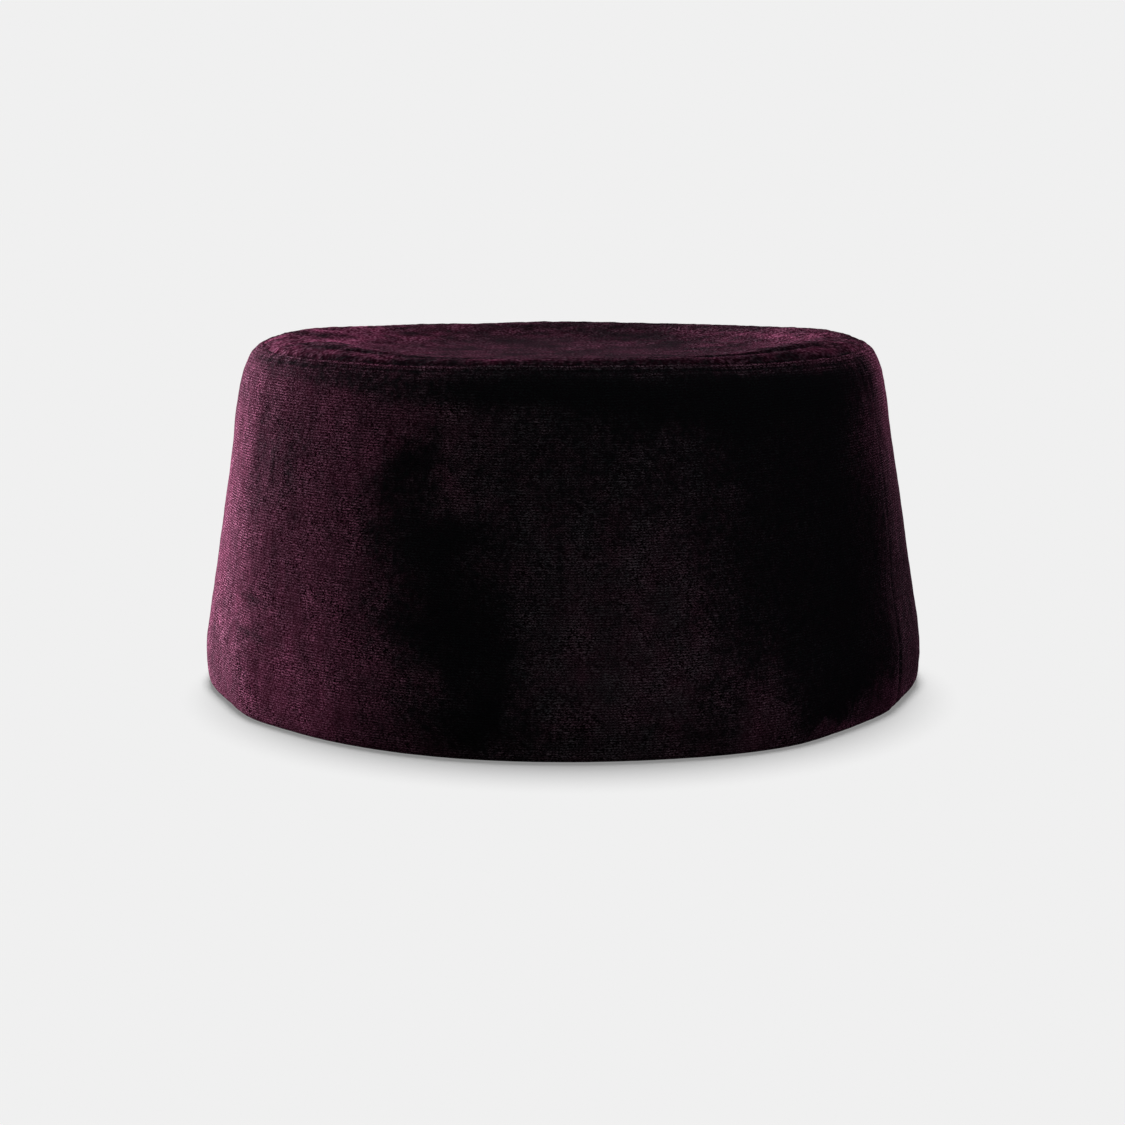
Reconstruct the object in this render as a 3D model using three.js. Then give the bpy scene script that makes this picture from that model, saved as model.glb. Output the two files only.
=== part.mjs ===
// A velvet pillbox hat: an oval side band that widens towards its hem,
// and a dished crown tip that is sewn into the band's top edge.
// Millimetres, +Z up. The hat stands on its hem, with the origin on the resting plane,
// in the middle of the oval. Azimuth 0 is the hat's front, at -Y, and grows towards +X.
// A half width is measured from the middle along X.
import * as THREE from 'three';

// Driving dimensions
const CLOTH = 2.5; // velvet with its stiffened backing
const SEAM_GAP = 0.3; // between the cut edges that meet in the tip seam
const SEAM_HALF_WIDTH = 76.3; // the tip seam, on the band's side
const OVAL_EXTRA = 7.4; // how much further the oval reaches to the front and back than to the sides
const SEGMENTS = 80; // facets round the oval
const WALL_STEP = 7.5; // most height between two rows of facets on the band's wall
const SWELL_TOP = 60; // height at which the hem's swells have died away
const WAVE_BOTTOM = 58; // height at which the rim's waves begin
const WAVE_TOP = 80; // height at which the rim's waves are whole
const WAVE_FADE = 4; // power by which the waves fade from the rim to the middle of the tip

// Outside of the band from its foot up to the tip seam.
// The cloth is turned up inside the hem, so it is thicker there.
const BAND_SECTIONS = [
  { place: 'foot', height: 0.0, halfWidth: 88.4, thickness: 3.4 },
  { place: 'hem roll', height: 2.0, halfWidth: 90.3, thickness: 3.8 },
  { place: 'hem roll', height: 5.0, halfWidth: 91.6, thickness: 4.0 },
  { place: 'widest', height: 9.2, halfWidth: 92.0, thickness: 4.0 },
  { place: 'hem top', height: 16.0, halfWidth: 91.4, thickness: 4.0 },
  { place: 'wall foot', height: 19.0, halfWidth: 90.9, thickness: CLOTH },
  { place: 'wall head', height: 70.0, halfWidth: 83.2, thickness: CLOTH },
  { place: 'shoulder', height: 76.4, halfWidth: 82.1, thickness: CLOTH },
  { place: 'shoulder', height: 81.2, halfWidth: 81.0, thickness: CLOTH },
  { place: 'shoulder', height: 84.2, halfWidth: 79.9, thickness: CLOTH },
  { place: 'stitch line', height: 85.9, halfWidth: 78.9, thickness: CLOTH },
  { place: 'seam roll', height: 87.0, halfWidth: 77.8, thickness: CLOTH },
  { place: 'seam', height: 87.4, halfWidth: SEAM_HALF_WIDTH, thickness: CLOTH },
];

// Upper face of the tip from the seam to its middle:
// a raised ridge, a sunk row of stitches, and a shallow dish.
const TIP_SECTIONS = [
  { place: 'seam', height: 87.4, halfWidth: SEAM_HALF_WIDTH - SEAM_GAP, thickness: CLOTH },
  { place: 'ridge', height: 88.1, halfWidth: 74.4, thickness: CLOTH },
  { place: 'ridge', height: 88.4, halfWidth: 72.4, thickness: CLOTH },
  { place: 'ridge', height: 88.2, halfWidth: 70.6, thickness: CLOTH },
  { place: 'stitch line', height: 87.6, halfWidth: 69.0, thickness: CLOTH },
  { place: 'inner ridge', height: 88.1, halfWidth: 66.4, thickness: CLOTH },
  { place: 'dish slope', height: 87.0, halfWidth: 58.0, thickness: CLOTH },
  { place: 'dish slope', height: 85.6, halfWidth: 46.0, thickness: CLOTH },
  { place: 'dish floor', height: 84.9, halfWidth: 30.0, thickness: CLOTH },
  { place: 'middle', height: 84.6, halfWidth: 0.0, thickness: CLOTH },
];

// Soft dents in the band's wall. Depth is inwards,
// and around (degrees) and up (mm) are where a dent has faded by half.
const WALL_DENTS = [
  { azimuth: -20, height: 58, depth: 0.9, around: 8, up: 9 },
  { azimuth: -66, height: 25, depth: 0.6, around: 9, up: 5 },
  { azimuth: 68, height: 31, depth: 0.5, around: 10, up: 6 },
  { azimuth: 74, height: 66, depth: 0.5, around: 9, up: 9 },
  { azimuth: 160, height: 40, depth: 0.8, around: 12, up: 10 },
];

// Where the hem stands out from the plain oval, or lies flatter than it.
// Spread (degrees) is where a swell has faded by half.
const HEM_SWELLS = [
  { azimuth: 0, swell: -1.0, spread: 16 },
  { azimuth: 35, swell: 2.4, spread: 16 },
  { azimuth: 180, swell: -1.0, spread: 16 },
];

// Where the soft top edge rises or sinks, with the same spread.
const RIM_WAVES = [
  { azimuth: -116, rise: 0.7, spread: 17 },
  { azimuth: -27, rise: -0.6, spread: 9 },
  { azimuth: 0, rise: 0.3, spread: 12 },
  { azimuth: 34, rise: -0.4, spread: 9 },
  { azimuth: 116, rise: 0.7, spread: 17 },
];

// How much of a soft bump is left at a distance from its middle: 1 there, and a half at the given reach.
const fade = (distance, reach) => Math.pow(0.5, (distance / reach) ** 2);

// Degrees from one azimuth to another, from -180 to 180.
const turnBetween = (from, to) => THREE.MathUtils.euclideanModulo(to - from + 180, 360) - 180;

// Adds rows to the long straight stretches of a section table, so that the wall can bend into its dents.
function subdivide(sections, step) {
  const rows = [sections[0]];
  sections.slice(1).forEach((next, i) => {
    const last = sections[i];
    const count = Math.ceil(Math.abs(next.height - last.height) / step);
    for (let k = 1; k <= count; k++) {
      const share = k / count;
      rows.push({
        height: THREE.MathUtils.lerp(last.height, next.height, share),
        halfWidth: THREE.MathUtils.lerp(last.halfWidth, next.halfWidth, share),
        thickness: THREE.MathUtils.lerp(last.thickness, next.thickness, share),
      });
    }
  });
  return rows;
}

// The inner face of a section table: each row moved in by its thickness, square to the outline there.
// The first and last rows move along the given directions, so that the cut edges are flat.
function innerFace(sections, firstDirection, lastDirection) {
  const points = sections.map((row) => new THREE.Vector2(row.halfWidth, row.height));
  return points.map((point, i) => {
    let inwards = firstDirection;
    if (i === points.length - 1) inwards = lastDirection;
    else if (i > 0) {
      const along = points[i + 1].clone().sub(points[i - 1]).normalize();
      inwards = new THREE.Vector2(-along.y, along.x);
    }
    return point.clone().addScaledVector(inwards, sections[i].thickness);
  });
}

// Moves a point of the round blank on to the hat's oval, with the dents, swells and waves of the soft cloth.
function shapeToHead(point) {
  const azimuth = Math.atan2(point.x, -point.y);
  const degrees = THREE.MathUtils.radToDeg(azimuth);
  const height = point.z;
  let reach = Math.hypot(point.x, point.y);
  const onBand = THREE.MathUtils.clamp(reach / SEAM_HALF_WIDTH, 0, 1);
  for (const { azimuth: at, height: level, depth, around, up } of WALL_DENTS) {
    reach -= onBand * depth * fade(turnBetween(at, degrees), around) * fade(height - level, up);
  }
  const swellShare = THREE.MathUtils.clamp(1 - height / SWELL_TOP, 0, 1);
  for (const { azimuth: at, swell, spread } of HEM_SWELLS) {
    reach += swellShare * swell * fade(turnBetween(at, degrees), spread);
  }
  const waveShare = onBand ** WAVE_FADE * THREE.MathUtils.smoothstep(height, WAVE_BOTTOM, WAVE_TOP);
  for (const { azimuth: at, rise, spread } of RIM_WAVES) {
    point.z += waveShare * rise * fade(turnBetween(at, degrees), spread);
  }
  point.x = reach * Math.sin(azimuth);
  point.y = -(reach + OVAL_EXTRA * onBand) * Math.cos(azimuth);
}

// Turns a profile about +Z into a round blank and shapes it to the head.
function clothShell(profile) {
  const geometry = new THREE.LatheGeometry(profile, SEGMENTS).rotateX(Math.PI / 2);
  const positions = geometry.getAttribute('position');
  const point = new THREE.Vector3();
  for (let i = 0; i < positions.count; i++) {
    shapeToHead(point.fromBufferAttribute(positions, i));
    positions.setXYZ(i, point.x, point.y, point.z);
  }
  geometry.computeVertexNormals();
  return geometry;
}

const towardsAxis = new THREE.Vector2(-1, 0);
const downwards = new THREE.Vector2(0, -1);
const outline = (sections) => sections.map((row) => new THREE.Vector2(row.halfWidth, row.height));

// Side band: a ring of cloth, closed on itself, standing on the flat foot of its turned hem.
function sideBand() {
  const sections = subdivide(BAND_SECTIONS, WALL_STEP);
  const outside = outline(sections);
  const inside = innerFace(sections, towardsAxis, downwards);
  return clothShell([...outside, ...inside.reverse(), outside[0]]);
}

// Crown tip: a dished oval disc whose edge meets the band in the tip seam.
function crownTip() {
  const above = outline(TIP_SECTIONS);
  const below = innerFace(TIP_SECTIONS, downwards, downwards);
  return clothShell([...below.reverse(), ...above]);
}

function piece(name, geometry, colour) {
  const material = new THREE.MeshStandardMaterial({ color: colour, roughness: 0.95, metalness: 0 });
  const mesh = new THREE.Mesh(geometry, material);
  mesh.name = name;
  return mesh;
}

const hat = new THREE.Group();
hat.name = 'pillbox_hat';
hat.add(piece('side_band', sideBand(), 0x2c121f));
hat.add(piece('crown_tip', crownTip(), 0x331626));

export default hat;
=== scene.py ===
import math

import bmesh
import bpy
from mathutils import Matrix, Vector, geometry, noise


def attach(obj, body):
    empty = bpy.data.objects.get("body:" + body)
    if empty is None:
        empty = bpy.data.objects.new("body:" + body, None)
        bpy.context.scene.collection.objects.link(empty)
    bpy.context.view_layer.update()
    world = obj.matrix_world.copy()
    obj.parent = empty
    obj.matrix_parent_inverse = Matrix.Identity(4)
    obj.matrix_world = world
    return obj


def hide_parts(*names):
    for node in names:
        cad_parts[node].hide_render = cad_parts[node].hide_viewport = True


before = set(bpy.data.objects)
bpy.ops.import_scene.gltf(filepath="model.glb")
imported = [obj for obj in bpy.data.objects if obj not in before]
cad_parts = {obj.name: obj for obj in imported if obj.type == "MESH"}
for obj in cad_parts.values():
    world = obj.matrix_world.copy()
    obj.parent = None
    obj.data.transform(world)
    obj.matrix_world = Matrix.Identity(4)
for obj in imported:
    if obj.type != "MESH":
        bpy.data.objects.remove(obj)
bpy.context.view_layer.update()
scene = bpy.context.scene
scene.view_settings.view_transform = "Standard"

# Camera
# The hat is seen from its front and a little above, from just over half a metre away.
CAMERA_DISTANCE = 0.5801
CAMERA_HEIGHT = 0.1232
CAMERA_ASIDE = -0.0002
CAMERA_TILT = math.radians(9.147)
CAMERA_LENS = 72.03
CAMERA_SENSOR = 36.0

camera_data = bpy.data.cameras.new("camera")
camera_data.lens = CAMERA_LENS
camera_data.sensor_width = CAMERA_SENSOR
camera = bpy.data.objects.new("camera", camera_data)
camera.location = (CAMERA_ASIDE, -CAMERA_DISTANCE, CAMERA_HEIGHT)
camera.rotation_euler = (math.pi / 2 - CAMERA_TILT, 0, 0)
scene.collection.objects.link(camera)
scene.camera = camera

# Ground
# A pale seamless sheet under and behind the hat. It is evenly bright, and darkens softly at the hem,
# most of all in front, because its own soft lamp stands above and behind the hat.
GROUND_GREY = 0.871
GROUND_SIZE = 40.0
GROUND_DROP = 0.0001
GROUND_PAPER = 0.8
GROUND_GLOW = 0.28
GROUND_LAMP_BACK = math.radians(10)
GROUND_LAMP_LEAN = math.radians(-1.3)
GROUND_LAMP_ANGLE = math.radians(24)
AMBIENT = 0.004


def add_node(nodes, kind, inputs, **settings):
    made = nodes.new(kind)
    for name, value in settings.items():
        setattr(made, name, value)
    for socket, value in inputs.items():
        if isinstance(value, bpy.types.NodeSocket):
            nodes.id_data.links.new(value, made.inputs[socket])
        else:
            made.inputs[socket].default_value = value
    return made


bm = bmesh.new()
bmesh.ops.create_grid(bm, x_segments=1, y_segments=1, size=GROUND_SIZE / 2)
bmesh.ops.translate(bm, verts=bm.verts, vec=(0, 0, -GROUND_DROP))
ground_mesh = bpy.data.meshes.new("ground")
bm.to_mesh(ground_mesh)
bm.free()
ground = bpy.data.objects.new("ground", ground_mesh)
ground.visible_diffuse = False
ground.visible_glossy = False
scene.collection.objects.link(ground)

ground_paper = bpy.data.materials.new("ground_paper")
ground_paper.use_nodes = True
nodes = ground_paper.node_tree.nodes
nodes.clear()
paper_colour = (GROUND_PAPER, GROUND_PAPER, GROUND_PAPER, 1)
paper = add_node(nodes, "ShaderNodeBsdfDiffuse", {"Color": paper_colour})
glow = add_node(nodes, "ShaderNodeEmission", {"Strength": GROUND_GREY * GROUND_GLOW})
total = add_node(nodes, "ShaderNodeAddShader", {0: paper.outputs[0], 1: glow.outputs[0]})
add_node(nodes, "ShaderNodeOutputMaterial", {"Surface": total.outputs[0]})
ground_mesh.materials.append(ground_paper)

ground_only = bpy.data.collections.new("ground_only")
ground_only.objects.link(ground)
lamp_light = (GROUND_GREY * (1 - GROUND_GLOW) - GROUND_PAPER * AMBIENT) * math.pi / GROUND_PAPER
lamp_data = bpy.data.lights.new("ground_lamp", "SUN")
lamp_data.angle = GROUND_LAMP_ANGLE
lamp_data.energy = lamp_light / (math.cos(GROUND_LAMP_BACK) * math.cos(GROUND_LAMP_LEAN))
ground_lamp = bpy.data.objects.new("ground_lamp", lamp_data)
ground_lamp.rotation_euler = (-GROUND_LAMP_BACK, GROUND_LAMP_LEAN, 0)
ground_lamp.light_linking.receiver_collection = ground_only
scene.collection.objects.link(ground_lamp)

# Light
# Low lamps stand to the left and behind the hat, with a weaker one behind it on the right,
# weak fill in front and above, and cooler fill on the right.
# They light the hat alone, and the rest of the room is nearly dark.
WHITE = (1, 1, 1)
COOL = (0.86, 0.86, 1)
LAMPS = [
    dict(name="key", azimuth=-112, elevation=8, distance=1.3, watts=12, colour=WHITE),
    dict(name="left_rim", azimuth=-145, elevation=5, distance=1.3, watts=118, colour=WHITE),
    dict(name="right_rim", azimuth=156, elevation=5, distance=1.3, watts=42, colour=WHITE),
    dict(name="front_fill", azimuth=8, elevation=10, distance=1.4, watts=1.2, colour=WHITE),
    dict(name="top_fill", azimuth=0, elevation=78, distance=1.4, watts=2.4, colour=WHITE),
    dict(name="right_fill", azimuth=92, elevation=10, distance=1.4, watts=1.1, colour=COOL),
]
LAMP_SIZE = 0.5

world = bpy.data.worlds.new("studio")
scene.world = world
world.use_nodes = True
nodes = world.node_tree.nodes
path = nodes.new("ShaderNodeLightPath")
strength = add_node(
    nodes,
    "ShaderNodeMapRange",
    {"Value": path.outputs["Is Camera Ray"], "To Min": AMBIENT, "To Max": GROUND_GREY},
)
backdrop = nodes["Background"]
backdrop.inputs["Color"].default_value = (1, 1, 1, 1)
world.node_tree.links.new(strength.outputs[0], backdrop.inputs["Strength"])

hat_only = bpy.data.collections.new("hat_only")
for lamp in LAMPS:
    lamp_data = bpy.data.lights.new(lamp["name"], "AREA")
    lamp_data.shape = "DISK"
    lamp_data.size = LAMP_SIZE
    lamp_data.energy = lamp["watts"]
    lamp_data.color = lamp["colour"]
    azimuth = math.radians(lamp["azimuth"])
    elevation = math.radians(lamp["elevation"])
    direction = Vector((
        math.sin(azimuth) * math.cos(elevation),
        -math.cos(azimuth) * math.cos(elevation),
        math.sin(elevation),
    ))
    lamp_object = bpy.data.objects.new(lamp["name"], lamp_data)
    lamp_object.location = direction * lamp["distance"]
    lamp_object.rotation_euler = direction.to_track_quat("Z", "Y").to_euler()
    lamp_object.light_linking.receiver_collection = hat_only
    scene.collection.objects.link(lamp_object)

# Side band
# One strip of pile velvet, closed on itself into an oval ring that widens towards the hem.
# Its lower edge is turned up inside, and its top edge is rolled over and sewn to the tip.
# Sizes are in millimetres. Azimuth 0 is the front, and it grows towards the right.
MM = 0.001
CLOTH = 2.5
SEAM_HALF_WIDTH = 76.3
OVAL_EXTRA = 7.4
RING_STEPS = 84
RING_CUTS = 9
RING_EDGE_TURN = 1
MERGE_DISTANCE = 1e-4
SWELL_TOP = 60
WAVE_BOTTOM = 58
WAVE_TOP = 80
WAVE_FADE = 4
CLOSING_SEAM = dict(azimuth=66, depth=0.12, half_width=0.7)
ROLL_CENTRE = Vector((72.0, 82.0))
GROOVE_DEPTH = 0.3
GROOVE_REACH = 0.6
PUCKER_DEPTH = 0.3
PUCKER_REACH = 1.8
PUCKER_SIZE = 2.4
UNEVENNESS = 0.12
UNEVEN_SIZE = 6
CLOUD_STEP = 2.0
CREASE_SHADE = 0.8
CREASE_CUTOFF = 3
GROOVE_SHADE = 0.9
GROOVE_STEADY = 0.6
SHADE_REACH = 0.4
STITCH_REACH = 0.4
SEWN_FRONT = 57
SEWN_SIDE = 75
SIDE_SHARE = 0.05
UNSEWN_SIZE = 9
UNSEWN_LOW = -0.55
UNSEWN_HIGH = 0.3
WANDER = 0.7
WANDER_SIZE = 11
WANDER_LEVEL = 9

BAND_ROWS = [
    dict(place="foot", height=0.0, half_width=90.5, thickness=3.4, spacing=0.35),
    dict(place="hem roll", height=1.4, half_width=91.35, thickness=3.8, spacing=1.0),
    dict(place="hem roll", height=4.6, half_width=91.85, thickness=4.0, spacing=1.5),
    dict(place="widest", height=9.2, half_width=92.0, thickness=4.0, spacing=1.6),
    dict(place="hem top", height=16.0, half_width=91.4, thickness=4.0, spacing=1.5),
    dict(place="wall foot", height=19.0, half_width=90.9, thickness=CLOTH, spacing=1.0),
    dict(place="wall", height=34.0, half_width=88.64, thickness=CLOTH, spacing=1.8),
    dict(place="wall head", height=70.0, half_width=83.2, thickness=CLOTH, spacing=1.5),
    dict(place="shoulder", height=76.4, half_width=82.1, thickness=CLOTH, spacing=1.0),
    dict(place="shoulder", height=81.2, half_width=81.05, thickness=CLOTH, spacing=0.7),
    dict(place="shoulder", height=84.0, half_width=80.1, thickness=CLOTH, spacing=0.45),
    dict(place="shoulder", height=85.4, half_width=79.35, thickness=CLOTH, spacing=0.2),
    dict(place="stitch line", height=86.2, half_width=78.7, thickness=CLOTH, spacing=0.2),
    dict(place="seam roll", height=86.85, half_width=77.9, thickness=CLOTH, spacing=0.2),
    dict(place="seam roll", height=87.3, half_width=76.9, thickness=CLOTH, spacing=0.2),
    dict(place="seam roll", height=87.1, half_width=76.45, thickness=CLOTH, spacing=0.3),
    dict(place="seam", height=86.4, half_width=SEAM_HALF_WIDTH, thickness=CLOTH, spacing=0.5),
]

# Rows of stitches round the rim, which sink the cloth into grooves and leave it puffed between them.
# At the sides and the back the pile closes over them.
STITCH_LINES = [
    dict(place="tip", half_width=68.6, height=88.0),
    dict(place="seam", half_width=76.28, height=87.3),
    dict(place="band", half_width=78.7, height=86.2),
]
# Painted highlights along the crests of the rim.
CREST_HIGHLIGHTS = [
    dict(place="tip", half_width=73.2, height=88.1, highlight=0.4, reach=1.0),
    dict(place="band", half_width=77.5, height=87.05, highlight=0.5, reach=0.25),
]
SEAM_TOP = 87.45
SEAM_TOP_SLOPE = 0.22
SEAM_TOP_WIDTH = 0.9
RIM_ROLLS = [
    dict(azimuth=-60, roll=0.9, spread=18),
    dict(azimuth=60, roll=0.9, spread=18),
]
ROLL_PIVOT = 72.5
ROLL_WIDTH = 5.5
ROLL_INNER = 50
ROLL_OUTER = 66

# Soft dents, creases, swells and waves of the cloth. Azimuths, spreads and tilts are in degrees.
WALL_DENTS = [
    dict(azimuth=-20, height=58, depth=0.9, around=8, up=9),
    dict(azimuth=-66, height=25, depth=0.6, around=9, up=5),
    dict(azimuth=68, height=31, depth=0.5, around=10, up=6),
    dict(azimuth=74, height=66, depth=0.5, around=9, up=9),
    dict(azimuth=160, height=40, depth=0.8, around=12, up=10),
    dict(azimuth=-82, height=73, depth=-0.45, around=14, up=8),
]
CREASES = [
    dict(azimuth=-57, height=29, tilt=-3, half_length=7, half_width=0.75, depth=0.75),
    dict(azimuth=-57, height=20.6, tilt=-3, half_length=8, half_width=0.75, depth=0.75),
    dict(azimuth=12, height=22, tilt=3, half_length=15, half_width=1.0, depth=0.15),
    dict(azimuth=-54, height=11, tilt=88, half_length=8, half_width=0.8, depth=0.16),
    dict(azimuth=-59, height=9, tilt=92, half_length=6, half_width=0.7, depth=0.12),
    dict(azimuth=-58, height=64, tilt=84, half_length=13, half_width=3.5, depth=0.25),
    dict(azimuth=-23, height=64, tilt=-52, half_length=7, half_width=2.2, depth=0.4),
    dict(azimuth=62.3, height=82, tilt=90, half_length=2.5, half_width=0.7, depth=0.35),
    dict(azimuth=65.4, height=82, tilt=90, half_length=2.5, half_width=0.7, depth=0.35),
    dict(azimuth=66.5, height=12, tilt=88, half_length=7, half_width=0.7, depth=0.25),
    dict(azimuth=112, height=22, tilt=6, half_length=8, half_width=1.2, depth=0.5),
    dict(azimuth=146, height=61, tilt=70, half_length=9, half_width=2.2, depth=0.5),
    dict(azimuth=-118, height=17, tilt=-4, half_length=9, half_width=1.2, depth=0.5),
    dict(azimuth=-150, height=44, tilt=40, half_length=8, half_width=2.0, depth=0.4),
]
HEM_SWELLS = [
    dict(azimuth=0, swell=-4.0, spread=44),
    dict(azimuth=-40, swell=-1.1, spread=13),
    dict(azimuth=-49, swell=-0.7, spread=6),
    dict(azimuth=-70, swell=-1.6, spread=8),
    dict(azimuth=33, swell=1.7, spread=13),
    dict(azimuth=45, swell=-0.7, spread=5),
    dict(azimuth=54, swell=-1.2, spread=7),
    dict(azimuth=72, swell=-1.6, spread=8),
    dict(azimuth=90, swell=1.3, spread=13),
    dict(azimuth=-90, swell=1.2, spread=13),
    dict(azimuth=180, swell=-1.0, spread=16),
]
RIM_WAVES = [
    dict(azimuth=-112, rise=0.95, spread=13),
    dict(azimuth=-27, rise=-0.6, spread=9),
    dict(azimuth=34, rise=-0.4, spread=9),
    dict(azimuth=110, rise=0.95, spread=12),
    dict(azimuth=-160, rise=-0.4, spread=7),
    dict(azimuth=160, rise=-0.3, spread=9),
]

# How the pile lies round the wall: how light it looks, and how brown it is painted where it faces the
# front, as a painted glint of its tips.
NAP_ROUND = [
    dict(azimuth=-180, light=0.6, glint_brown=0.0),
    dict(azimuth=-90, light=0.75, glint_brown=0.0),
    dict(azimuth=-62, light=0.75, glint_brown=0.0),
    dict(azimuth=-46, light=0.66, glint_brown=0.0),
    dict(azimuth=-36, light=0.62, glint_brown=0.0),
    dict(azimuth=-29, light=0.52, glint_brown=0.1),
    dict(azimuth=-20, light=0.45, glint_brown=0.5),
    dict(azimuth=-8, light=0.25, glint_brown=1.0),
    dict(azimuth=4, light=0.27, glint_brown=1.0),
    dict(azimuth=17, light=0.28, glint_brown=0.9),
    dict(azimuth=23, light=0.14, glint_brown=0.7),
    dict(azimuth=29, light=0.04, glint_brown=0.5),
    dict(azimuth=50, light=0.02, glint_brown=0.2),
    dict(azimuth=58, light=0.06, glint_brown=0.1),
    dict(azimuth=66, light=0.15, glint_brown=0.0),
    dict(azimuth=74, light=0.4, glint_brown=0.0),
    dict(azimuth=88, light=0.75, glint_brown=0.0),
    dict(azimuth=180, light=0.6, glint_brown=0.0),
]
# Patches of brushed pile, with painted light and shade among them where marked.
NAP_AND_PAINTED_LIGHT_PATCHES = [
    dict(place="dark pool, tail", azimuth=-25, height=63, around=3.6, up=6.5, light=-0.92),
    dict(place="dark pool, limb", azimuth=-19.5, height=67, around=3.2, up=1.8, light=-0.7),
    dict(place="dark pool, middle", azimuth=-20, height=48.5, around=7.4, up=6.2, light=-0.97),
    dict(place="dark pool, waist", azimuth=-19, height=39, around=6.5, up=4, light=-0.85),
    dict(place="dark pool, low", azimuth=-19.5, height=29.5, around=6.6, up=6.5, light=-0.95),
    dict(place="dark pool, low right", azimuth=-11, height=24, around=4, up=12, light=-0.9),
    dict(place="dark pool, hem", azimuth=-13.5, height=9, around=4.5, up=7, light=-0.88),
    dict(place="speckles by the hem", azimuth=-22, height=10, around=4, up=8, light=-0.45),
    dict(place="streak over the pool", azimuth=-15, height=59, around=4, up=3, light=0.08),
    # Painted shade under the rolled rim, partly the pile brushed dark there.
    dict(place="under the rim", azimuth=26, height=79.5, around=22, up=5, light=-0.95),
    dict(place="under the rim, middle", azimuth=-2, height=82, around=14, up=3, light=-0.95),
    dict(place="under the rim, mid left", azimuth=-28, height=83, around=13, up=2.6, light=-0.75),
    dict(place="under the rim, left", azimuth=-46, height=84.5, around=11, up=2.2, light=-0.55),
    dict(place="upper middle", azimuth=9, height=67, around=17, up=9, light=-0.5),
    dict(place="lower middle", azimuth=13, height=20, around=12, up=18, light=0.17),
    dict(place="low light patch", azimuth=30, height=5, around=4, up=10, light=0.5),
    # Painted shade on the left rim and shoulder, holding down the low lamps there, and in the dip below
    # them.
    dict(place="rim, left", azimuth=-60, height=87.2, around=14, up=1.8, light=-0.6),
    dict(place="shoulder, left", azimuth=-76, height=82, around=15, up=8, light=-0.42),
    dict(place="dip, left", azimuth=-53, height=62, around=8, up=11, light=-0.5),
    dict(place="low edge, left", azimuth=-70, height=10, around=10, up=14, light=-0.28),
    dict(place="low, left", azimuth=-48, height=8, around=10, up=15, light=0.6),
    # Painted light on the upward-facing right rim.
    dict(place="rim, right", azimuth=46, height=87.2, around=20, up=1.6, light=0.5),
    dict(place="shoulder, right", azimuth=63, height=67, around=8, up=9, light=0.25),
    # Painted light at the upper right edge, and painted shade below it that holds down the lamps on the
    # right.
    dict(place="edge, right", azimuth=78, height=80, around=8, up=12, light=0.6),
    dict(place="low edge, right", azimuth=80, height=26, around=8, up=19, light=-0.7),
    dict(place="hem edge, right", azimuth=61, height=2, around=8, up=4.5, light=0.55),
    dict(place="hem, right", azimuth=48, height=0, around=9, up=1.5, light=0.7),
]
PATCH_EDGE = 2.6
NAP_CLOUD_AROUND = 9
NAP_CLOUD_UP = 13
DRIFT_AROUND = 3.5
DRIFT_UP = 5
DRIFT_UP_LEVEL = Vector((0, 0, 7))
STEADY_BACK = 30
RIM_STEADY = 0.8
RIM_STEADY_START = 72
RIM_STEADY_FULL = 84
RAGGED = 0.35
RAGGED_REPEAT = 3
RAGGED_LEVEL = Vector((0, 0, 3))
GLINT_BROWN_PATCHES = 0.6
GLINT_BROWN_REPEAT = 2
GLINT_BROWN_LEVEL = Vector((0, 0, 11))

# Round the back the colour is darkened, as painted shade that holds down the strong lamps behind the hat,
# and along the hem a narrow strip is painted lighter, as painted light, over painted shade at the very
# edge.
BACK_PAINTED_SHADE = 0.82
BACK_START = 76
BACK_FULL = 104
HEM_PAINTED_LIGHT = 0.17
HEM_PAINTED_LIGHT_REACH = 2.5
HEM_PAINTED_SHADE = 0.5
HEM_PAINTED_SHADE_REACH = 0.4


# How much of a soft bump is left at a distance from its middle: 1 there, and a half at the given reach.
def fade(distance, reach):
    return 0.5 ** ((distance / reach) ** 2)


# Degrees from one azimuth to another, from -180 to 180.
def turn_between(start, end):
    return (end - start + 180) % 360 - 180


def smoothstep(value, low, high):
    share = min(max((value - low) / (high - low), 0), 1)
    return share * share * (3 - 2 * share)


def azimuth_of(point):
    return math.degrees(math.atan2(point.x, -point.y))


# The place at an azimuth, at a reach from the upright axis and at a height.
def round_axis(degrees, reach, height):
    azimuth = math.radians(degrees)
    return Vector((reach * math.sin(azimuth), -reach * math.cos(azimuth), height))


# Cloudy noise, with less fine detail the more even it is.
def cloud(point, evenness, octaves):
    return noise.fractal(point, evenness, CLOUD_STEP, octaves)


# How deep the creases and the closing seam sink the wall at a place.
def crease_at(degrees, height, reach):
    depth = 0
    for crease in CREASES:
        aside = math.radians(turn_between(crease["azimuth"], degrees)) * reach
        above = height - crease["height"]
        if math.hypot(aside, above) > CREASE_CUTOFF * crease["half_length"]:
            continue
        tilt = math.radians(crease["tilt"])
        along = aside * math.cos(tilt) + above * math.sin(tilt)
        across = above * math.cos(tilt) - aside * math.sin(tilt)
        near = fade(along, crease["half_length"]) * fade(across, crease["half_width"])
        depth += crease["depth"] * near
    aside = math.radians(turn_between(CLOSING_SEAM["azimuth"], degrees)) * reach
    return depth + CLOSING_SEAM["depth"] * fade(aside, CLOSING_SEAM["half_width"])


# How clearly the stitches show round the rim.
def sewn_share(degrees):
    return 1 - (1 - SIDE_SHARE) * smoothstep(abs(degrees), SEWN_FRONT, SEWN_SIDE)


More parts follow.
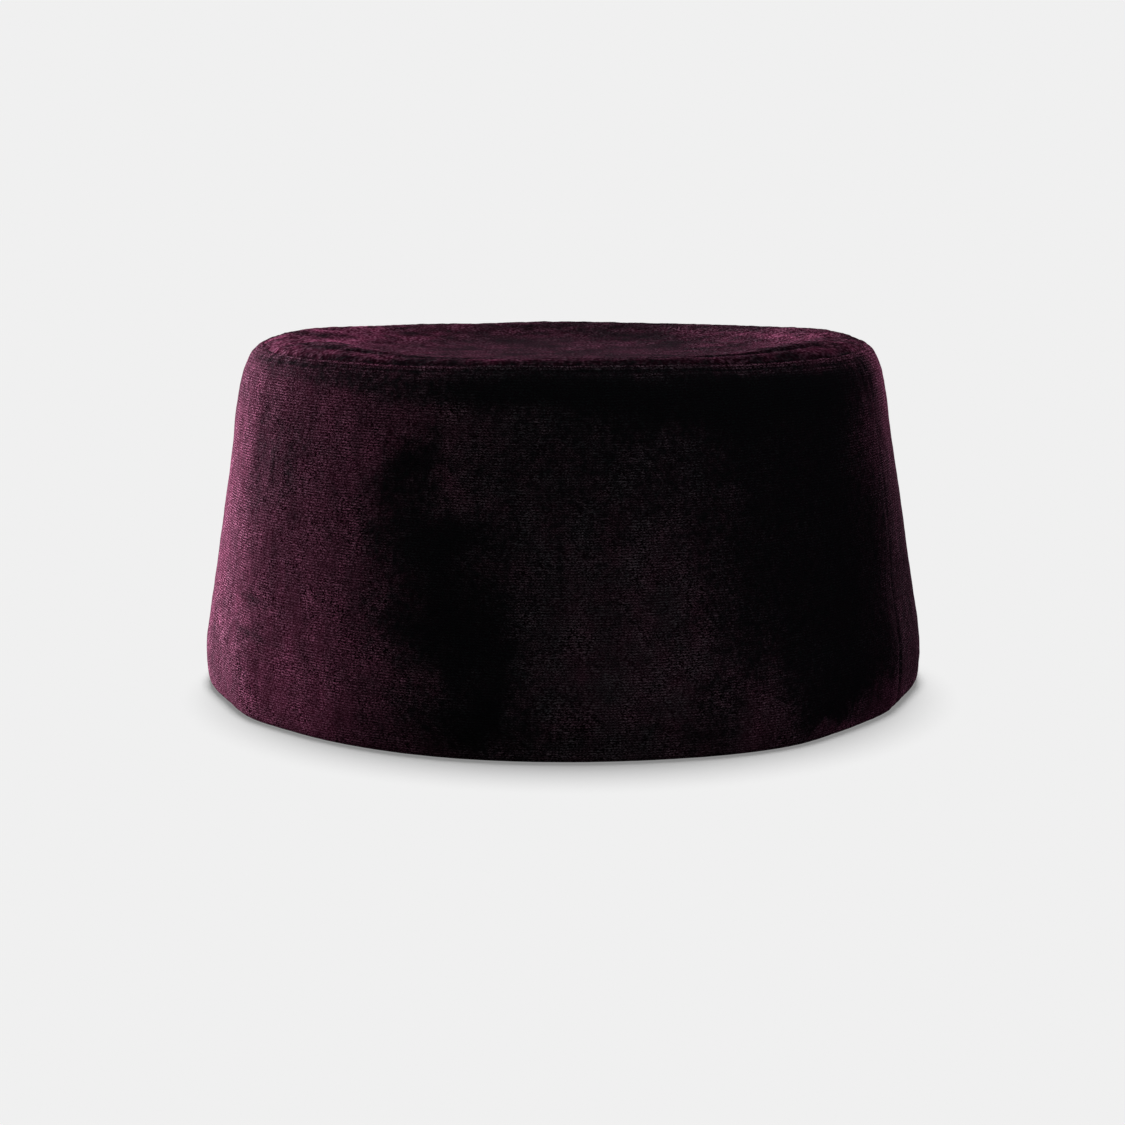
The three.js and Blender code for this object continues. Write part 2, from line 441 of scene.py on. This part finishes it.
# Noise that runs round the rim and meets itself at the back.
def noise_round_rim(degrees, size, level):
    azimuth = math.radians(degrees)
    round_rim = SEAM_HALF_WIDTH / size
    return noise.noise(Vector((round_rim * math.sin(azimuth), round_rim * math.cos(azimuth), level)))


# How far a point of the rim is from the nearest row of stitches. The rows wander a little.
def stitch_distance(degrees, reach, height):
    reach += WANDER * noise_round_rim(degrees, WANDER_SIZE, WANDER_LEVEL)
    return min(math.hypot(reach - line["half_width"], height - line["height"]) for line in STITCH_LINES)


# Where the stitches and puckers draw a point of the rim, as its reach and height.
def stitched(degrees, reach, height):
    share = sewn_share(degrees)
    far = stitch_distance(degrees, reach, height)
    drawn = noise_round_rim(degrees, PUCKER_SIZE, reach / PUCKER_REACH)
    pucker = PUCKER_DEPTH * drawn * fade(far, PUCKER_REACH)
    closed_top = SEAM_TOP - SEAM_TOP_SLOPE * (reach - SEAM_HALF_WIDTH)
    if abs(reach - SEAM_HALF_WIDTH) < SEAM_TOP_WIDTH and height < closed_top:
        height += (1 - share) / (1 - SIDE_SHARE) * (closed_top - height)
    sink = share * GROOVE_DEPTH * fade(far, GROOVE_REACH) + pucker
    return Vector((reach, height)) + (ROLL_CENTRE - Vector((reach, height))).normalized() * sink


# Moves a point of the round blank on to the hat's oval, with the give of the soft cloth.
def shape_to_head(point):
    degrees = azimuth_of(point)
    azimuth = math.radians(degrees)
    height = point.z
    reach = math.hypot(point.x, point.y)
    on_band = min(reach / SEAM_HALF_WIDTH, 1)
    for dent in WALL_DENTS:
        near = fade(turn_between(dent["azimuth"], degrees), dent["around"])
        reach -= on_band * dent["depth"] * near * fade(height - dent["height"], dent["up"])
    swell_share = min(max(1 - height / SWELL_TOP, 0), 1)
    for swell in HEM_SWELLS:
        near = fade(turn_between(swell["azimuth"], degrees), swell["spread"])
        reach += swell_share * swell["swell"] * near
    wave_share = on_band ** WAVE_FADE * smoothstep(height, WAVE_BOTTOM, WAVE_TOP)
    roll_share = smoothstep(height, WAVE_TOP, WAVE_TOP + ROLL_WIDTH)
    roll_share *= smoothstep(reach, ROLL_INNER, ROLL_OUTER)
    for roll in RIM_ROLLS:
        turned = roll["roll"] * fade(turn_between(roll["azimuth"], degrees), roll["spread"])
        height += roll_share * turned * (ROLL_PIVOT - reach) / ROLL_WIDTH
    for wave in RIM_WAVES:
        near = fade(turn_between(wave["azimuth"], degrees), wave["spread"])
        height += wave_share * wave["rise"] * near
    return Vector((
        reach * math.sin(azimuth),
        -(reach + OVAL_EXTRA * on_band) * math.cos(azimuth),
        height,
    ))


# A smooth outline through the rows of a table, with each row's own spacing.
def smooth_line(rows):
    points = [Vector((row["half_width"], row["height"])) for row in rows]
    line = [points[0]]
    for i, (start, end) in enumerate(zip(points, points[1:])):
        before = points[max(i - 1, 0)]
        after = points[min(i + 2, len(points) - 1)]
        span = (end - start).length
        handle = span / 3
        leave = (end - before).normalized() * handle
        arrive = (after - start).normalized() * handle
        count = max(2, math.ceil(span / rows[i]["spacing"]) + 1)
        line += geometry.interpolate_bezier(start, start + leave, end - arrive, end, count)[1:]
    return [Vector((p.x, p.y)) for p in line]


# The inner face of a table: each row moved in by its thickness, square to the outline there.
def inner_line(rows, first, last):
    points = [Vector((row["half_width"], row["height"])) for row in rows]
    line = []
    for i, (point, row) in enumerate(zip(points, rows)):
        inwards = first
        if i == len(points) - 1:
            inwards = last
        elif i > 0:
            along = (points[i + 1] - points[i - 1]).normalized()
            inwards = Vector((-along.y, along.x))
        line.append(point + inwards * row["thickness"])
    return line


# A round blank, spun from an outline about the upright axis, that remembers face side and half width.
def spun(outside, inside, closed):
    bm = bmesh.new()
    face_side = bm.verts.layers.float.new("face_side")
    half_width = bm.verts.layers.float.new("half_width")
    line = []
    for points, side in ((outside, 1.0), (inside, 0.0)):
        for point in points:
            vert = bm.verts.new((0, -point.x, point.y))
            vert[face_side] = side
            vert[half_width] = point.x
            line.append(vert)
    for a, b in zip(line, line[1:]):
        bm.edges.new((a, b))
    if closed:
        bm.edges.new((line[-1], line[0]))
    bmesh.ops.spin(
        bm,
        geom=bm.verts[:] + bm.edges[:],
        cent=(0, 0, 0),
        axis=(0, 0, 1),
        angle=2 * math.pi,
        steps=RING_STEPS,
        use_merge=True,
    )
    rings = []
    for edge in bm.edges:
        start, end = (azimuth_of(vert.co) for vert in edge.verts)
        if abs(start - end) > RING_EDGE_TURN:
            rings.append(edge)
    bmesh.ops.subdivide_edges(bm, edges=rings, cuts=RING_CUTS, use_grid_fill=True)
    bmesh.ops.remove_doubles(bm, verts=bm.verts, dist=MERGE_DISTANCE)
    bmesh.ops.recalc_face_normals(bm, faces=bm.faces)
    for vert in bm.verts:
        vert.co = round_axis(azimuth_of(vert.co), vert[half_width], vert.co.z)
    return bm


# The small unevenness of soft cloth at a place.
def uneven_at(point, size):
    return cloud(point / size, evenness=0.6, octaves=3)


# A patch of brushed pile, or of painted light or shade: a dark one scales the light down, and a light one
# adds to it.
def brushed(light, change, near):
    if change < 0:
        return light * (1 + change) ** near
    return light + change * near


# How light the pile looks at a place on the wall and how brown its painted glint is, with ragged edges to
# its patches.
def nap_at(degrees, height):
    place = Vector((degrees / NAP_CLOUD_AROUND, height / NAP_CLOUD_UP, 0))
    in_front = smoothstep(180 - abs(degrees), 0, STEADY_BACK)
    free = in_front * (1 - RIM_STEADY * smoothstep(height, RIM_STEADY_START, RIM_STEADY_FULL))
    degrees += DRIFT_AROUND * free * cloud(place, evenness=0.8, octaves=5)
    height += DRIFT_UP * free * cloud(place + DRIFT_UP_LEVEL, evenness=0.8, octaves=5)
    light = 0
    glint_brown = 0
    for low, high in zip(NAP_ROUND, NAP_ROUND[1:]):
        if low["azimuth"] <= degrees <= high["azimuth"]:
            share = smoothstep(degrees, low["azimuth"], high["azimuth"])
            light = low["light"] + share * (high["light"] - low["light"])
            glint_brown = low["glint_brown"] + share * (high["glint_brown"] - low["glint_brown"])
    for patch in NAP_AND_PAINTED_LIGHT_PATCHES:
        aside = turn_between(patch["azimuth"], degrees) / patch["around"]
        above = (height - patch["height"]) / patch["up"]
        near = 0.5 ** (math.hypot(aside, above) ** PATCH_EDGE)
        light = brushed(light, patch["light"], near)
    ragged = cloud(place * RAGGED_REPEAT + RAGGED_LEVEL, evenness=0.7, octaves=5)
    glint_browned = cloud(place * GLINT_BROWN_REPEAT + GLINT_BROWN_LEVEL, evenness=0.8, octaves=3)
    light *= 1 + RAGGED * in_front * ragged
    glint_brown *= 1 + GLINT_BROWN_PATCHES * in_front * glint_browned
    return max(light, 0), glint_brown


# The pile's light with painted shade in the stitch grooves, partly the pile pressed flat there, and
# painted highlights on the crests of the rim, and how strongly the stitches mark it.
def shaded(light, degrees, reach, height):
    share = sewn_share(degrees)
    shows = noise_round_rim(degrees, UNSEWN_SIZE, reach / UNSEWN_SIZE)
    shows = smoothstep(shows, UNSEWN_LOW, UNSEWN_HIGH)
    stitch_far = stitch_distance(degrees, reach, height)
    for crest in CREST_HIGHLIGHTS:
        far = math.hypot(reach - crest["half_width"], height - crest["height"])
        light += share * shows * crest["highlight"] * fade(far, crest["reach"])
    clear = GROOVE_STEADY + (1 - GROOVE_STEADY) * shows
    light *= 1 - GROOVE_SHADE * share * clear * fade(stitch_far, SHADE_REACH)
    return light, share * shows * fade(stitch_far, STITCH_REACH)


# Makes the object from its finished mesh. The lamps light it, and it is hidden from bounced light.
def cloth_object(bm, name):
    bmesh.ops.scale(bm, verts=bm.verts, vec=(MM, MM, MM))
    for face in bm.faces:
        face.smooth = True
    mesh = bpy.data.meshes.new(name)
    bm.to_mesh(mesh)
    bm.free()
    made = bpy.data.objects.new(name, mesh)
    made.visible_diffuse = False
    scene.collection.objects.link(made)
    hat_only.objects.link(made)
    return made


towards_axis = Vector((-1, 0))
downwards = Vector((0, -1))
seam_lean = Vector((0.3, -1)).normalized()
outside = smooth_line(BAND_ROWS)
inside_rows = [row for row in BAND_ROWS if row["place"] not in ("stitch line", "seam roll")]
inside = inner_line(inside_rows, towards_axis, seam_lean)
bm = spun(outside, inside[::-1], closed=True)
face_side = bm.verts.layers.float["face_side"]
# This layer holds the pile's own nap together with painted light and shade.
nap_and_painted_light = bm.verts.layers.float.new("nap_and_painted_light")
glint_brown = bm.verts.layers.float.new("glint_brown")
painted_back_shade = bm.verts.layers.float.new("painted_back_shade")
sewn = bm.verts.layers.float.new("sewn")
for vert in bm.verts:
    degrees = azimuth_of(vert.co)
    height = vert.co.z
    reach = math.hypot(vert.co.x, vert.co.y)
    crease = crease_at(degrees, height, reach)
    vert[nap_and_painted_light], vert[glint_brown] = nap_at(degrees, height)
    # Painted shade round the back.
    vert[painted_back_shade] = BACK_PAINTED_SHADE * smoothstep(abs(degrees), BACK_START, BACK_FULL)
    # Painted shade in the creases and along the closing seam, partly the pile pressed flat there.
    vert[nap_and_painted_light] *= 1 - min(CREASE_SHADE * crease, 1)
    # Painted light in a strip along the hem, and painted shade at its very edge.
    vert[nap_and_painted_light] += HEM_PAINTED_LIGHT * fade(height, HEM_PAINTED_LIGHT_REACH)
    vert[nap_and_painted_light] *= 1 - HEM_PAINTED_SHADE * fade(height, HEM_PAINTED_SHADE_REACH)
    if vert[face_side] > 0:
        vert[nap_and_painted_light], vert[sewn] = shaded(vert[nap_and_painted_light], degrees, reach, height)
        moved = stitched(degrees, reach, height)
        moved.x -= crease - UNEVENNESS * uneven_at(vert.co, UNEVEN_SIZE)
        vert.co = round_axis(degrees, moved.x, moved.y)
    vert.co = shape_to_head(vert.co)
band = cloth_object(bm, "velvet_band")

# The pile of the velvet is a fine grain of tufts in rows, brushed into lighter and darker streaks.
DARK_PILE = (0.0106, 0.0124, 0.0136, 1)
PLUM_PILE = (0.122, 0.037, 0.067, 1)
# Brown tone of the painted glint where the pile faces the front.
GLINT_BROWN_PILE = (0.094, 0.056, 0.072, 1)
BACKING = (0.020, 0.008, 0.013, 1)
SHEEN_TINT = (0.60, 0.20, 0.34, 1)
ROW_PITCH = 0.00062
PILE_DEPTH = 0.0001
ROW_RELIEF = 0.4
ROUGH_ROOT = 0.95
ROUGH_TIP = 0.75
GRAIN_POWER = 1.8
GRAIN_IN_DARK = 0.1
GRAIN_FULL = 0.25
GRAIN_PATCH = (0.009, 0.009, 0.009)
GRAIN_WEAK = 0.55
GRAIN_STRONG = 1.3
FLECK_ROOT = (1.15, 0.68, 0.92, 1)
FLECK_TIP = (0.96, 1.07, 1.03, 1)
ROW_CONTRAST = 0.5
ROW_WANDER = 1.4
STITCHES = 496
STITCH_SHADE = 0.45
STITCH_EDGE = 0.4
DIM_LIGHT = 0.6
DIM_SPECKLE = 1.1
SPECKLE_SIZE = (0.0013, 0.0013, 0.0013)
SHEEN_ROUGHNESS = 0.3
NOISE_LOW = 0.3
NOISE_HIGH = 0.7
WAVE_TEXTURE_PITCH = math.pi / 10
COLOUR_A = 6
COLOUR_B = 7
COLOUR_RESULT = 2


def velvet(name, grain, streaks, mottle, rows_across, sheen):
    cloth = bpy.data.materials.new(name)
    cloth.use_nodes = True
    nodes = cloth.node_tree.nodes
    place = nodes.new("ShaderNodeTexCoord").outputs["Object"]

    def ranged(value, low, high, to_low, to_high):
        made = add_node(
            nodes,
            "ShaderNodeMapRange",
            {"Value": value, "From Min": low, "From Max": high, "To Min": to_low, "To Max": to_high},
        )
        return made.outputs[0]

    def noise_of(sizes, detail, low, high):
        repeat = tuple(1 / size for size in sizes)
        mapping = add_node(nodes, "ShaderNodeMapping", {"Vector": place, "Scale": repeat})
        made = add_node(
            nodes, "ShaderNodeTexNoise", {"Vector": mapping.outputs[0], "Scale": 1.0, "Detail": detail}
        )
        return ranged(made.outputs[0], NOISE_LOW, NOISE_HIGH, low, high)

    def calculated(operation, a, b):
        return add_node(nodes, "ShaderNodeMath", {0: a, 1: b}, operation=operation).outputs[0]

    def mixed(share, a, b):
        inputs = {0: share, COLOUR_A: a, COLOUR_B: b}
        made = add_node(nodes, "ShaderNodeMix", inputs, data_type="RGBA", clamp_factor=False)
        return made.outputs[COLOUR_RESULT]

    def attribute(layer):
        return add_node(nodes, "ShaderNodeAttribute", {}, attribute_name=layer).outputs["Fac"]

    # Tufts and the rows that they stand in
    tufts = noise_of(grain["tuft"], detail=0, low=0, high=1)
    rows = add_node(
        nodes,
        "ShaderNodeTexWave",
        {
            "Vector": place,
            "Scale": WAVE_TEXTURE_PITCH / ROW_PITCH,
            "Distortion": ROW_WANDER,
            "Detail": 1.0,
            "Detail Scale": 0.8,
        },
        bands_direction=rows_across,
    )

    # How light the pile looks: its nap with the painted light and shade, brushed into streaks and
    # mottled, with specks where it is dim
    streaky = noise_of(streaks["size"], detail=3, low=1 - streaks["depth"], high=1 + streaks["depth"])
    mottled = noise_of(mottle["size"], detail=2, low=1 - mottle["depth"], high=1 + mottle["depth"])
    light = calculated("MULTIPLY", calculated("MULTIPLY", attribute("nap_and_painted_light"), streaky), mottled)
    speckle = noise_of(SPECKLE_SIZE, detail=2, low=-1, high=1)
    speckle = calculated("MULTIPLY", speckle, ranged(light, 0, DIM_LIGHT, DIM_SPECKLE, 0))
    light = calculated("MULTIPLY", light, calculated("MAXIMUM", calculated("ADD", speckle, 1), 0))
    lit_pile = mixed(attribute("glint_brown"), PLUM_PILE, GLINT_BROWN_PILE)
    pile_colour = mixed(light, DARK_PILE, lit_pile)

    # The grain of the tufts and rows, and the stitches that pull it in, with painted shade in dashes
    # along them
    flecks = ranged(calculated("POWER", tufts, GRAIN_POWER), 0, 1, grain["low"], grain["high"])
    ribs = ranged(rows.outputs["Fac"], 0, 1, 1 - ROW_CONTRAST, 1 + ROW_CONTRAST)
    across = add_node(nodes, "ShaderNodeSeparateXYZ", {0: place})
    round_rim = calculated("ARCTAN2", across.outputs["X"], across.outputs["Y"])
    stitch_wave = calculated("SINE", calculated("MULTIPLY", round_rim, STITCHES), 0)
    # Painted shade in the stitch dimples, partly the pile pressed flat there.
    stitch_dip = ranged(stitch_wave, -STITCH_EDGE, STITCH_EDGE, 0, STITCH_SHADE)
    stitch_mark = calculated("MULTIPLY", stitch_dip, attribute("sewn"))
    pulled = ranged(stitch_mark, 0, 1, 1, 0)
    uneven = calculated("SUBTRACT", calculated("MULTIPLY", flecks, ribs), 1)
    shown = calculated("MULTIPLY", uneven, ranged(light, 0, GRAIN_FULL, GRAIN_IN_DARK, 1))
    patchy = noise_of(GRAIN_PATCH, detail=1, low=GRAIN_WEAK, high=GRAIN_STRONG)
    shown = calculated("MULTIPLY", shown, patchy)
    scale = calculated("MULTIPLY", calculated("ADD", shown, 1), pulled)
    # Painted shade round the back darkens the colour.
    scale = calculated("MULTIPLY", scale, calculated("SUBTRACT", 1, attribute("painted_back_shade")))
    fleck_tint = mixed(tufts, FLECK_ROOT, FLECK_TIP)
    tinted = add_node(
        nodes, "ShaderNodeVectorMath", {0: pile_colour, 1: fleck_tint}, operation="MULTIPLY"
    )
    grained = add_node(
        nodes, "ShaderNodeVectorMath", {0: tinted.outputs[0], "Scale": scale}, operation="SCALE"
    )
    colour = mixed(attribute("face_side"), BACKING, grained.outputs[0])

    # Relief of the pile
    relief = calculated("ADD", tufts, ranged(rows.outputs["Fac"], 0, 1, 0, ROW_RELIEF))
    bump = add_node(nodes, "ShaderNodeBump", {"Height": relief, "Distance": PILE_DEPTH})

    pile = nodes["Principled BSDF"]
    pile.inputs["Specular IOR Level"].default_value = 0.0
    pile.inputs["Sheen Weight"].default_value = sheen
    pile.inputs["Sheen Roughness"].default_value = SHEEN_ROUGHNESS
    pile.inputs["Sheen Tint"].default_value = SHEEN_TINT
    links = cloth.node_tree.links
    links.new(colour, pile.inputs["Base Color"])
    links.new(ranged(tufts, 0, 1, ROUGH_ROOT, ROUGH_TIP), pile.inputs["Roughness"])
    links.new(bump.outputs[0], pile.inputs["Normal"])
    return cloth


band.data.materials.append(
    velvet(
        "band_velvet",
        grain=dict(tuft=(0.0004, 0.0009, 0.00016), low=0.12, high=4.1),
        streaks=dict(size=(0.006, 0.006, 0.036), depth=0.2),
        mottle=dict(size=(0.0028, 0.0028, 0.0028), depth=0.08),
        rows_across="Z",
        sheen=0.035,
    )
)
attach(band, "root")
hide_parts("side_band")

# Crown tip
# An oval disc of the same velvet, dished in the middle.
# Its edge is turned down into the seam at the band's top.
TIP_ROWS = [
    dict(place="seam", height=86.4, half_width=76.24, thickness=CLOTH, spacing=0.4),
    dict(place="seam", height=87.2, half_width=76.1, thickness=CLOTH, spacing=0.2),
    dict(place="ridge", height=87.55, half_width=75.6, thickness=CLOTH, spacing=0.25),
    dict(place="ridge", height=88.0, half_width=74.4, thickness=CLOTH, spacing=0.4),
    dict(place="ridge", height=88.25, half_width=72.4, thickness=CLOTH, spacing=0.5),
    dict(place="ridge", height=88.2, half_width=70.6, thickness=CLOTH, spacing=0.35),
    dict(place="stitch line", height=88.1, half_width=68.6, thickness=CLOTH, spacing=0.35),
    dict(place="inner ridge", height=88.1, half_width=66.4, thickness=CLOTH, spacing=0.8),
    dict(place="dish slope", height=87.0, half_width=58.0, thickness=CLOTH, spacing=1.5),
    dict(place="dish slope", height=85.6, half_width=46.0, thickness=CLOTH, spacing=2),
    dict(place="dish floor", height=84.9, half_width=30.0, thickness=CLOTH, spacing=3),
    dict(place="middle", height=84.6, half_width=0.0, thickness=CLOTH, spacing=3),
]
TIP_UNEVENNESS = 0.14
TIP_UNEVEN_SIZE = 4
TIP_EVEN_REACH = 15
TIP_UNEVEN_REACH = 58
TIP_LIGHT = 0.21
TIP_PATCHINESS = 0.6
TIP_PATCH_SIZE = 22
# Painted light and shade on the tip: highlights on its ridges and lit ends, shade inside the stitches,
# beside the ridge and on the far slope and rim.
TIP_PAINTED_LIGHT_AND_SHADE = [
    dict(place="inner crest, left", azimuth=-50, half_width=64, around=17, across=1.6, light=0.12),
    dict(place="inner crest, right", azimuth=50, half_width=64, around=15, across=1.6, light=0.1),
    dict(place="ridge, left", azimuth=-50, half_width=72.3, around=17, across=1.6, light=0.2),
    dict(place="lens outside the ridge", azimuth=-38, half_width=75.2, around=7, across=0.8, light=-0.85),
    dict(place="far slope", azimuth=175, half_width=62, around=27, across=16, light=-0.35),
    dict(place="far rim", azimuth=175, half_width=74, around=18, across=4, light=-0.6),
    dict(place="left end", azimuth=-95, half_width=66, around=42, across=24, light=0.9),
    dict(place="far left", azimuth=-146, half_width=69, around=22, across=10, light=0.17),
    dict(place="right end", azimuth=92, half_width=70, around=34, across=18, light=0.5),
    dict(place="ridge, right", azimuth=52, half_width=72, around=11, across=3, light=0.25),
    dict(place="stitch row, left", azimuth=-50, half_width=68.2, around=17, across=2.0, light=-0.65),
    dict(place="stitch row, middle", azimuth=-28, half_width=67.0, around=13, across=1.8, light=-0.3),
    dict(place="stitch row, right", azimuth=49, half_width=68.2, around=12, across=1.8, light=-0.5),
]

outside = smooth_line(TIP_ROWS)
inside_rows = [row for row in TIP_ROWS if row["place"] not in ("stitch line", "ridge")]
inside = inner_line(inside_rows, downwards, downwards)
bm = spun(outside[::-1], inside, closed=False)
face_side = bm.verts.layers.float["face_side"]
nap_and_painted_light = bm.verts.layers.float.new("nap_and_painted_light")
sewn = bm.verts.layers.float.new("sewn")
for vert in bm.verts:
    degrees = azimuth_of(vert.co)
    height = vert.co.z
    reach = math.hypot(vert.co.x, vert.co.y)
    light = TIP_LIGHT
    for patch in TIP_PAINTED_LIGHT_AND_SHADE:
        near = fade(turn_between(patch["azimuth"], degrees), patch["around"])
        near *= fade(reach - patch["half_width"], patch["across"])
        light = brushed(light, patch["light"], near)
    patchy = cloud(vert.co / TIP_PATCH_SIZE, evenness=1.0, octaves=3)
    vert[nap_and_painted_light] = light * (1 + TIP_PATCHINESS * patchy)
    if vert[face_side] > 0:
        vert[nap_and_painted_light], vert[sewn] = shaded(vert[nap_and_painted_light], degrees, reach, height)
        moved = stitched(degrees, reach, height)
        unevenness = TIP_UNEVENNESS * smoothstep(reach, TIP_EVEN_REACH, TIP_UNEVEN_REACH)
        level = moved.y + unevenness * uneven_at(vert.co, TIP_UNEVEN_SIZE)
        vert.co = round_axis(degrees, moved.x, level)
    vert.co = shape_to_head(vert.co)
tip = cloth_object(bm, "velvet_tip")
tip.data.materials.append(
    velvet(
        "tip_velvet",
        grain=dict(tuft=(0.0007, 0.0014, 0.0008), low=0.5, high=2.4),
        streaks=dict(size=(0.011, 0.02, 0.006), depth=0.8),
        mottle=dict(size=(0.0045, 0.008, 0.003), depth=0.62),
        rows_across="Y",
        sheen=0.01,
    )
)
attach(tip, "root")
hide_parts("crown_tip")
